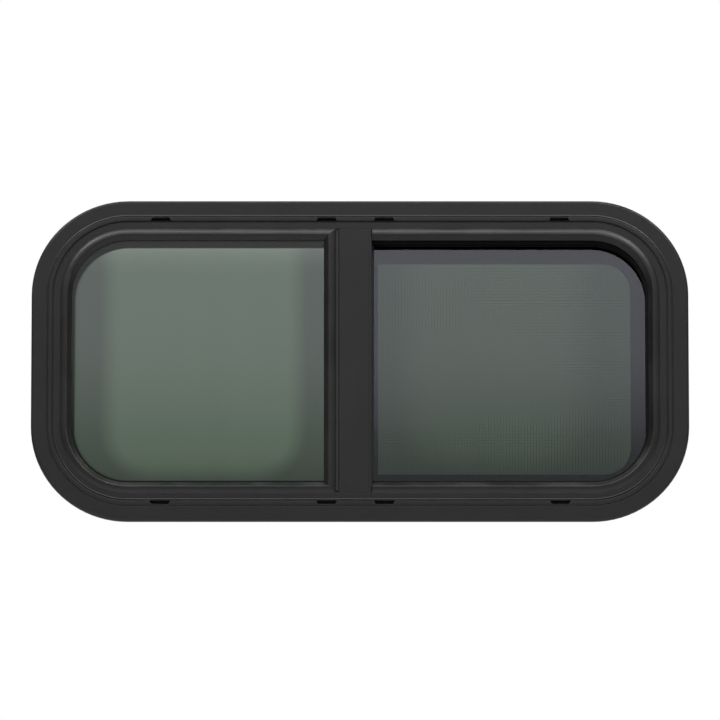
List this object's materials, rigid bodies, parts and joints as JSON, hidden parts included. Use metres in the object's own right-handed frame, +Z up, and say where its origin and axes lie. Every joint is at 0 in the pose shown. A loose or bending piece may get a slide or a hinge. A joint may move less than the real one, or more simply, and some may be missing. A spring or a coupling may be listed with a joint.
{
  "type": "caravan window",
  "caption": "Wide caravan window with rounded corners: a fixed pane, a sliding pane behind an insect screen, and a ring that clamps it to the wall.",
  "frame": {"origin": "centre of the window, in the plane where the flange's seal meets the outer skin of the wall", "axes": "+X right along the window's width as seen from outside, +Z up, +Y into the vehicle, so the outside face looks towards -Y"},
  "size_m": [0.8, 0.0535, 0.4],
  "materials": {
    "frame_paint": "satin dark grey powder coat",
    "bead_trim": "satin dark grey, glossier on the crown",
    "seal_rubber": "matt black",
    "tinted_glass": "grey-green tinted safety glass",
    "black_plastic": "fine grain",
    "brush_pile": "short woven pile",
    "screen_paint": "satin dark grey",
    "screen_weave": "coated glass-fibre mesh"
  },
  "bodies": {
    "root": {"outer_frame": "frame_paint", "flange_seal": "seal_rubber", "fixed_glass": "tinted_glass", "fixed_glass_tape": "seal_rubber", "fixed_side_bead": "bead_trim", "mullion_bead": "bead_trim", "sliding_side_bead": "bead_trim", "mullion_post": "frame_paint", "mullion_strip": "seal_rubber", "mullion_seal": "seal_rubber", "mullion_top_block": "black_plastic", "mullion_bottom_block": "black_plastic", "top_runner": "black_plastic", "bottom_runner": "black_plastic", "side_runner": "black_plastic", "sash_bumper": "seal_rubber", "sliding_glass": "tinted_glass", "sash_stile": "frame_paint", "stile_seal": "brush_pile", "latch_body": "black_plastic", "latch_lever": "black_plastic", "latch_keeper": "black_plastic", "screen_rail": "black_plastic", "screen_frame": "screen_paint", "screen_mesh": "screen_weave", "screen_spline": "seal_rubber", "screen_pull": "black_plastic", "clamp_ring": "frame_paint"}
  },
  "joints": []
}
